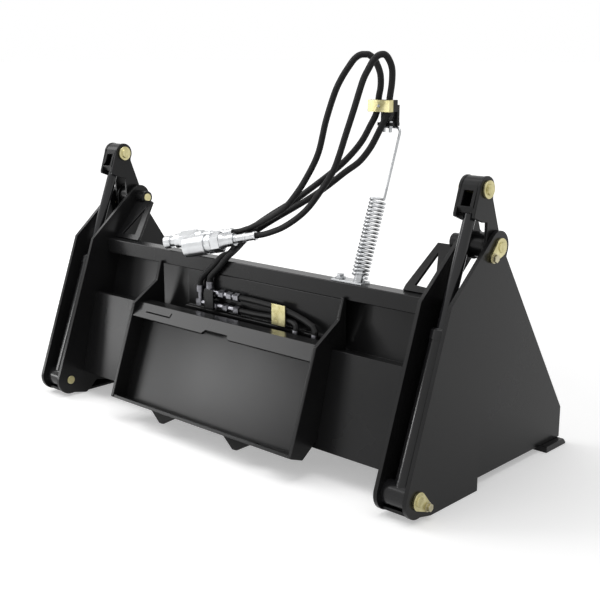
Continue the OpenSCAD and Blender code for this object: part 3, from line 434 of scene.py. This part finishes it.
def braid_height(tree, uv):
    """Each set of stripes is the sine of 2 pi times (strands x around, plus
    or minus turns x along). The greater of the two is scaled to 0 to 1."""
    split = tree.nodes.new("ShaderNodeSeparateXYZ")
    around = math_node(tree, "MULTIPLY", None, 2 * math.pi * STRANDS)
    top = math_node(tree, "MAXIMUM")
    scaled = node_in(tree, "ShaderNodeMapRange", **{"From Min": -1.0})
    join(tree, (uv, split.inputs[0]), (split.outputs["X"], around.inputs[0]),
         (top.outputs[0], scaled.inputs["Value"]))
    for place, way in enumerate((1, -1)):
        along = math_node(tree, "MULTIPLY_ADD", None, way * 2 * math.pi * TURNS_PER_METRE)
        wave = math_node(tree, "SINE")
        join(tree, (split.outputs["Y"], along.inputs[0]),
             (around.outputs[0], along.inputs[2]),
             (along.outputs[0], wave.inputs[0]),
             (wave.outputs[0], top.inputs[place]))
    return scaled.outputs["Result"]


print("strands", STRANDS, "turns in a metre", TURNS_PER_METRE)

# %% [markdown]
# The height of the braid does two jobs: it bumps the surface, and it darkens the gaps
# between the strands with painted shade, for the shade that falls there on a real hose.
# %% Hose cover
BRAID_DEPTH = 0.0004
# Painted shade: the colour that the gaps between the braid's strands are mixed towards.
BRAID_GAP_SHADE = (0.004, 0.004, 0.004, 1)


def woven_cover(name, dark, light):
    """A dull rubbery shader with the braid in its bump, and painted shade in the braid's
    gaps in its colour.
    """
    material = bpy.data.materials.new(name)
    material.use_nodes = True
    tree = material.node_tree
    shader = tree.nodes["Principled BSDF"]
    shader.inputs["Specular IOR Level"].default_value = 0.2
    coords = tree.nodes.new("ShaderNodeTexCoord")
    braid = braid_height(tree, coords.outputs["UV"])
    group = varied(tree, Mottle_scale=30.0, Grain_scale=300.0, Dark=(*dark, 1),
                   Light=(*light, 1), Rough_low=0.42, Rough_high=0.6)
    shade = node_in(tree, "ShaderNodeMix", data_type="RGBA", A=BRAID_GAP_SHADE)
    bump = node_in(tree, "ShaderNodeBump", Distance=BRAID_DEPTH)
    join(tree,
         (coords.outputs["Object"], group.inputs["Coordinates"]),
         (braid, shade.inputs["Factor"]),
         (group.outputs["Color"], shade.inputs["B"]),
         (shade.outputs["Result"], shader.inputs["Base Color"]),
         (group.outputs["Roughness"], shader.inputs["Roughness"]),
         (braid, bump.inputs["Height"]),
         (bump.outputs["Normal"], shader.inputs["Normal"]))
    return material


MATERIALS["hose_black"] = woven_cover(
    "hose_cover", (0.006, 0.006, 0.0065), (0.012, 0.012, 0.0125))
print("finishes", sorted(MATERIALS))

# %% [markdown]
# The CAD record says which finish each node takes, so one loop dresses them
# all. A CAD node keeps its mesh: only its material slot is filled.
# %% Dress the nodes and the hoses
def dress(obj, slot_name):
    """The piece gets this finish and no other."""
    obj.data.materials.clear()
    obj.data.materials.append(MATERIALS[slot_name])


for obj, line in hoses.values():
    dress(obj, "hose_black")
for node, obj in frame["nodes"].items():
    dress(obj, SLOT_OF[node])
print("dressed", len(hoses) + len(frame["nodes"]))

# %% [markdown]
# Cut plate has edges that a powder coat rounds to about a millimetre, and
# these thin bright lines are what the eye reads as steel. A copy of each CAD
# plate is merged, its flat triangles are joined, and a small bevel rounds it.
# Weighted normals then keep the broad faces flat right up to the bevel.
# %% A soft-edged copy
MERGE_WITHIN = 0.000002
FLAT_WITHIN = math.radians(0.5)
SHARP_FROM = math.radians(30)
BEVEL_FROM = math.radians(32)
BEVEL_SEGMENTS = 2
FACE_AREA_WEIGHT = 100


def merged_copy(node):
    """The CAD node's mesh with doubles merged and flat triangles joined."""
    obj = bpy.data.objects.new(node + "_finished", frame["nodes"][node].data.copy())
    bpy.context.collection.objects.link(obj)
    bm = bmesh.new()
    bm.from_mesh(obj.data)
    bmesh.ops.remove_doubles(bm, verts=bm.verts, dist=MERGE_WITHIN)
    bmesh.ops.dissolve_limit(bm, angle_limit=FLAT_WITHIN, verts=bm.verts, edges=bm.edges)
    bm.to_mesh(obj.data)
    bm.free()
    smooth = np.ones(len(obj.data.polygons), bool)
    obj.data.polygons.foreach_set("use_smooth", smooth)
    obj.data.set_sharp_from_angle(angle=SHARP_FROM)
    return obj


def softened(node, width_mm):
    """The copy with a rounded edge of this width, in the node's place."""
    obj = merged_copy(node)
    bevel = obj.modifiers.new("edge", "BEVEL")
    bevel.width = width_mm * MM
    bevel.segments = BEVEL_SEGMENTS
    bevel.limit_method = "ANGLE"
    bevel.angle_limit = BEVEL_FROM
    bevel.use_clamp_overlap = True
    flat = obj.modifiers.new("flat_faces", "WEIGHTED_NORMAL")
    flat.weight = FACE_AREA_WEIGHT
    flat.keep_sharp = True
    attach(obj, BODY_OF[node])
    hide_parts(node)
    dress(obj, SLOT_OF[node])
    return obj


print("bevels start at", round(math.degrees(BEVEL_FROM)), "degrees")

# %% [markdown]
# The width follows how each piece is made: bent or welded tube is rounder
# than laser-cut plate, and turned parts and bolts have only a broken edge.
# Barrels, rods, hubs, washers, fittings and the hoses in the recess stay as
# the CAD model has them, since they have no cut edge that shows.
# %% Edge widths
EDGE_MM = {
    "moldboard": 0.8, "top_beam": 1.6, "manifold_plate": 1.0, "loader_plate": 1.0,
    "loader_gusset_left": 1.1, "loader_gusset_right": 1.1, "plate_tabs": 1.0,
    "inner_cheek_left": 1.1, "inner_cheek_right": 1.1, "outer_cheek_left": 1.1,
    "outer_cheek_right": 1.1, "foot_plate_left": 0.8, "foot_plate_right": 0.8,
    "pocket_shields": 0.6, "hinge_bosses": 1.0, "boss_gussets": 1.0,
    "moldboard_edge": 0.8, "clam_floor": 0.6, "cutting_edge": 0.8,
    "clam_side_left": 1.0, "clam_side_right": 1.0, "lever_inner_left": 1.0,
    "lever_inner_right": 1.0, "lever_outer_left": 1.0, "lever_outer_right": 1.0,
    "rod_yoke_left": 1.2, "rod_yoke_right": 1.2, "mast_base": 0.5,
    "clamp_bracket": 0.8, "clamp_plate": 0.6, "hinge_pin_left": 0.7,
    "hinge_pin_right": 0.7, "base_pin_left": 0.7, "base_pin_right": 0.7,
    "lever_pin_left": 0.8, "lever_pin_right": 0.8, "flag_bolts": 0.4,
    "mast_bolts": 0.4, "socket_coupler": 0.7, "coupler_sleeve": 0.8,
    "plug_coupler": 0.7, "hose_ferrules": 0.8, "hose_clamps": 0.5,
    "gland_left": 0.8, "gland_right": 0.8}
finished = {node: softened(node, width) for node, width in EDGE_MM.items()}
print("softened", len(finished))

# %% [markdown]
# Three pieces don't look like the rest of their slot: the tabs under the loader plate get
# painted shade, a duller and darker black for the shadow under the plate, the flag bolts
# have aged, and of the two straps
# over the hoses in the recess only the right one is plated bright. The left
# one is painted, so its faces take a second material.
# %% Pieces with a finish of their own
# Painted shade: the tabs take the darker, duller black for the shadow they sit in.
dress(finished["plate_tabs"], "shaded_black")
dress(finished["flag_bolts"], "bolt_zinc")

straps = finished["hose_clamps"].data
straps.materials.append(MATERIALS["satin_black"])
centre_x = np.array([p.center.x for p in straps.polygons])
between_straps = (centre_x.min() + centre_x.max()) / 2
is_left = centre_x < between_straps
straps.polygons.foreach_set("material_index", is_left.astype(np.int32))
print("painted faces", int(is_left.sum()))

# %% [markdown]
# The guide is one wire: a close coil at its foot, then a straight leg that
# bends over into the clamp. A helix is a circle that climbs as it turns, so
# a formula winds it more evenly than points set by hand.
# %% Sizes of the sprung guide
WIRE_D = 5.2
COIL_D = 33.0
COIL_LEN = 156.0
CURLS = 21
LEG_LEN = 127.0
LEG_START_SHARE = 0.04
BEND_R = 2.4 * WIRE_D
LEAN = math.radians(20)
FOOT = np.array([283.0, -82.5, 360.0])
COIL_R = (COIL_D - WIRE_D) / 2
PITCH = (COIL_LEN - WIRE_D) / CURLS
CURL_STEPS = 28
LEG_STEPS = 14
BEND_STEPS = 12
WIRE_SIDES = 12
print("coil pitch", round(PITCH, 2))

# %% [markdown]
# The coil stands on a level foot but leans, so its lowest turn starts a
# little way up the axis, where the wire just touches the foot.
# %% Sprung guide
ACROSS = np.array([1.0, 0.0, 0.0])
AXIS = np.array([0.0, math.sin(LEAN), math.cos(LEAN)])


def guide_line():
    """The coil is the foot plus axis times (start + turn x pitch), plus the
    coil's radius times (cosine of the turn across, and sine of it sideways).
    The leg goes on along the axis, and the bend is a quarter circle."""
    side = np.cross(AXIS, ACROSS)
    lowest = (COIL_R * math.sin(LEAN) + WIRE_D / 2) / math.cos(LEAN)
    turn = np.linspace(0, CURLS, CURLS * CURL_STEPS + 1)[:, None]
    coil = (FOOT + AXIS * (lowest + turn * PITCH)
            + ACROSS * COIL_R * np.cos(2 * np.pi * turn)
            + side * COIL_R * np.sin(2 * np.pi * turn))
    lead_in = coil[:1] - side * WIRE_D
    climb = np.linspace(LEG_START_SHARE, 1, LEG_STEPS)[:, None]
    leg = coil[-1] + AXIS * (LEG_LEN * climb)
    a = np.linspace(0, np.pi / 2, BEND_STEPS)[1:, None]
    bend = leg[-1] + BEND_R * (ACROSS * (np.cos(a) - 1) + AXIS * np.sin(a))
    arm = bend[-1] - ACROSS * COIL_D
    return np.vstack([lead_in, coil, leg, bend, arm])


wire_line = in_frame(guide_line())
spring = tube("mast_spring_wire", wire_line, WIRE_D / 2 * MM, WIRE_SIDES, start=(1, 0, 0))
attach(spring, "frame")
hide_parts("mast_spring")
dress(spring, "silver_zinc")
print("spring points", len(wire_line))

# %% [markdown]
# A studio background is white to the eye and to polished metal, but it must
# not light the object. A Light Path node tells these rays from the ones that
# gather light, and both the floor and the world use it.
# %% Rays that see the background
SEEING_RAYS = ("Is Camera Ray", "Is Glossy Ray", "Is Transmission Ray")


def seen_directly(tree):
    """1 for each of the three kinds of ray, and otherwise 0: the greatest of
    the three outputs."""
    rays = tree.nodes.new("ShaderNodeLightPath").outputs
    first, second, third = (rays[name] for name in SEEING_RAYS)
    one_of_two = math_node(tree, "MAXIMUM")
    one_of_three = math_node(tree, "MAXIMUM")
    join(tree,
         (first, one_of_two.inputs[0]),
         (second, one_of_two.inputs[1]),
         (one_of_two.outputs[0], one_of_three.inputs[0]),
         (third, one_of_three.inputs[1]))
    return one_of_three.outputs[0]


print("rays that see white:", SEEING_RAYS)

# %% [markdown]
# The floor is a plain pale sheet that takes the object's shadow. A glow is
# added for the rays above. It grows with distance from the object, so that
# the floor fades into the white world and no horizon line shows.
# %% Floor
FLOOR_HALF = 120.0
FLOOR_Z = -0.0005
GLOW = {"From Min": 0.7, "From Max": 2.2, "To Min": 0.38, "To Max": 0.8}

corners = [(x * FLOOR_HALF, y * FLOOR_HALF, FLOOR_Z)
           for x, y in ((-1, -1), (1, -1), (1, 1), (-1, 1))]
floor_me = bpy.data.meshes.new("floor")
floor_me.from_pydata(corners, [], [(0, 1, 2, 3)])
floor = bpy.data.objects.new("floor", floor_me)
bpy.context.collection.objects.link(floor)

floor_paint = bpy.data.materials.new("studio_floor")
floor_paint.use_nodes = True
tree = floor_paint.node_tree
matt = tree.nodes["Principled BSDF"]
matt.inputs["Base Color"].default_value = (0.8, 0.8, 0.8, 1)
matt.inputs["Roughness"].default_value = 0.9
matt.inputs["Specular IOR Level"].default_value = 0.1
coords = tree.nodes.new("ShaderNodeTexCoord")
reach = node_in(tree, "ShaderNodeVectorMath", operation="LENGTH")
glow_by_reach = node_in(tree, "ShaderNodeMapRange", **GLOW)
glow_amount = math_node(tree, "MULTIPLY")
glow = tree.nodes.new("ShaderNodeEmission")
both = tree.nodes.new("ShaderNodeAddShader")
join(tree,
     (coords.outputs["Object"], reach.inputs[0]),
     (reach.outputs["Value"], glow_by_reach.inputs["Value"]),
     (seen_directly(tree), glow_amount.inputs[0]),
     (glow_by_reach.outputs["Result"], glow_amount.inputs[1]),
     (glow_amount.outputs[0], glow.inputs["Strength"]),
     (matt.outputs[0], both.inputs[0]),
     (glow.outputs[0], both.inputs[1]),
     (both.outputs[0], tree.nodes["Material Output"].inputs["Surface"]))
floor_me.materials.append(floor_paint)
print("floor half width", FLOOR_HALF)

# %% [markdown]
# The world is a big soft box round the object. Its light is stronger from
# the left rear, as in a room with one window wall, and it shows as white
# wherever it is seen directly.
# %% World
BRIGHT_SIDE = (-0.66, -0.66, 0.36)
WORLD_LIGHT = {"From Min": -0.9, "From Max": 1.0, "To Min": 0.2, "To Max": 0.45}

world = bpy.data.worlds.new("studio")
bpy.context.scene.world = world
world.use_nodes = True
tree = world.node_tree
background = tree.nodes["Background"]
background.inputs["Color"].default_value = (1, 1, 1, 1)
coords = tree.nodes.new("ShaderNodeTexCoord")
towards = node_in(tree, "ShaderNodeVectorMath", operation="DOT_PRODUCT")
towards.inputs[1].default_value = BRIGHT_SIDE
graded = node_in(tree, "ShaderNodeMapRange", interpolation_type="SMOOTHSTEP", **WORLD_LIGHT)
strength = node_in(tree, "ShaderNodeMix", data_type="FLOAT", B=1.0)
join(tree,
     (coords.outputs["Generated"], towards.inputs[0]),
     (towards.outputs["Value"], graded.inputs["Value"]),
     (seen_directly(tree), strength.inputs["Factor"]),
     (graded.outputs["Result"], strength.inputs["A"]),
     (strength.outputs["Result"], background.inputs["Strength"]))
print("world light", WORLD_LIGHT["To Min"], "to", WORLD_LIGHT["To Max"])

# %% [markdown]
# Satin paint shows little of its own colour and much of what it mirrors, so
# the lamps are placed by their reflections. Two broad ones give the soft
# light from above and from the left. Two small ones stand low, where the
# left bay and the sloping loader plate mirror them as a gentle gradient.
# %% Lamps
LAMPS = {"overhead": ((0.2, -0.4, 2.8), (0, 0, 0.2), (2.4, 1.8), 32),
         "left_high": ((-1.9, -1.1, 1.9), (0, 0, 0.25), (1.6, 1.2), 26),
         "left_low": ((-2.3, -1.67, 0.3), (-0.39, -0.18, 0.16), (0.6, 0.4), 5),
         "plate_glow": ((-1.64, -1.86, 0.59), (0.03, -0.2, 0.14), (0.36, 0.30), 5)}


def soft_lamp(name, place, target, size, watts):
    """A rectangular lamp at a place, facing a target, that no camera sees."""
    data = bpy.data.lights.new(name, "AREA")
    data.shape = "RECTANGLE"
    data.size, data.size_y = size
    data.energy = watts
    lamp = bpy.data.objects.new(name, data)
    aim = Vector(target) - Vector(place)
    lamp.location = place
    lamp.rotation_euler = aim.to_track_quat("-Z", "Y").to_euler()
    lamp.visible_camera = False
    bpy.context.collection.objects.link(lamp)


for name, values in LAMPS.items():
    soft_lamp(name, *values)
print("lamps", len(LAMPS))

# %% [markdown]
# Standard view keeps a colour as it is written.
# %% Finish
bpy.context.scene.view_settings.view_transform = "Standard"
